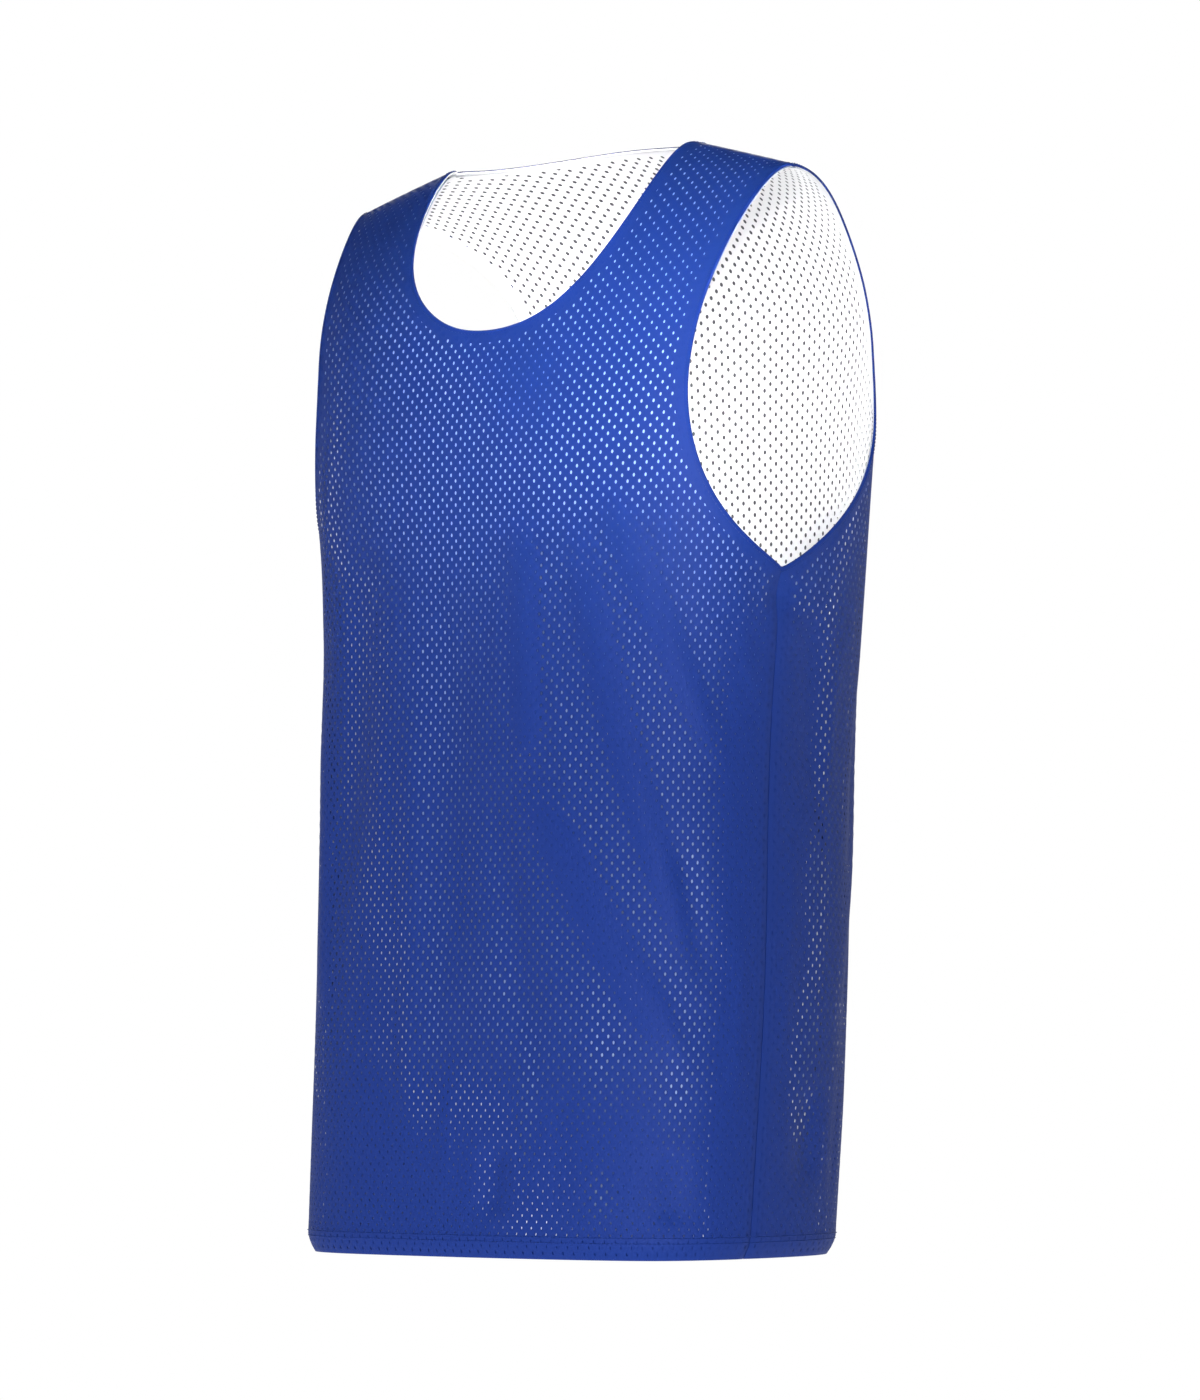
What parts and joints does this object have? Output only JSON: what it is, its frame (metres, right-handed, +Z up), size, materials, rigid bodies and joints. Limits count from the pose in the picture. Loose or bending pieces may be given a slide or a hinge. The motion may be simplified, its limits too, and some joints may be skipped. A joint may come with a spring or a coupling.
{
  "type": "basketball jersey",
  "caption": "Sleeveless reversible basketball jersey in royal blue mesh over white mesh, worn and hollow, with round neck, deep armholes and a stitched hem.",
  "frame": {"origin": "midway between the two neck points, at the height of the neck points, where the jersey hangs from the wearer's shoulders", "axes": "+Z up, the front of the jersey faces -Y, +X is the wearer's left"},
  "size_m": [0.4052, 0.2969, 0.7953],
  "materials": {
    "royal_mesh": "royal blue knit mesh, soft sheen",
    "white_mesh": "white knit mesh, matt",
    "royal_edge": "royal blue knit turned in and stitched down"
  },
  "bodies": {
    "root": {"outer_front": "royal_mesh", "outer_back": "royal_mesh", "inner_front": "white_mesh", "inner_back": "white_mesh", "neck_edge": "royal_edge", "armhole_edge_left": "royal_edge", "armhole_edge_right": "royal_edge"}
  },
  "joints": []
}
